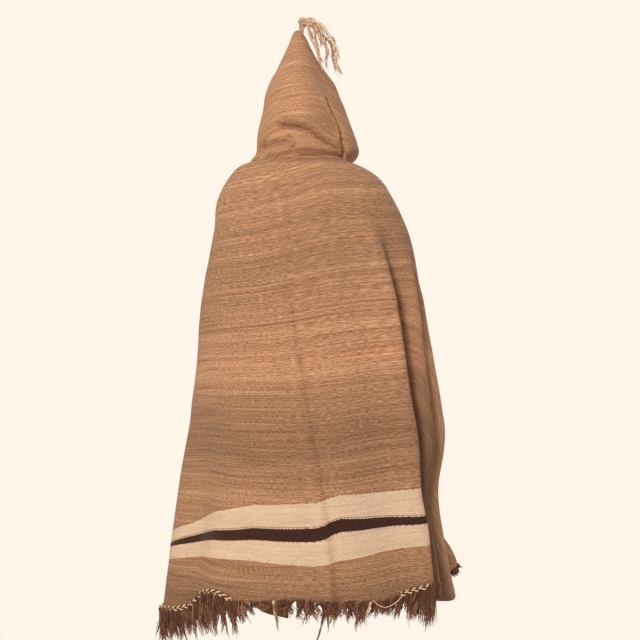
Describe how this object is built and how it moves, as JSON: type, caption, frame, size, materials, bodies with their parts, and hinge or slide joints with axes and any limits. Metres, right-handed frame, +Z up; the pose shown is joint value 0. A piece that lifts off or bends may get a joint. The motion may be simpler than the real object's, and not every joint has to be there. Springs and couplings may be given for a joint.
{
  "type": "burnous hooded cloak",
  "caption": "Hooded wool cloak in its worn form, with a pointed tasselled hood, an open front and a fringed hem.",
  "frame": {"origin": "middle of the neck opening, at the height where the cloak rests on the wearer's shoulders", "axes": "+Z up; the wearer's front faces -Y and the back faces +Y; +X is the wearer's left, -X the wearer's right"},
  "size_m": [0.8451, 0.5713, 1.7536],
  "materials": {
    "cloth": "hand-woven brown wool with cream and dark bands near the hem",
    "fringe": "loose twisted wool ends",
    "tassel": "plied wool cords",
    "edging": "cream and dark wool, twined"
  },
  "bodies": {
    "root": {"back": "cloth", "front_left": "cloth", "front_right": "cloth", "hood": "cloth", "hood_tassel": "tassel", "fringe_back": "fringe", "fringe_corner": "fringe", "twined_edging_left": "edging", "twined_edging_right": "edging"}
  },
  "joints": []
}
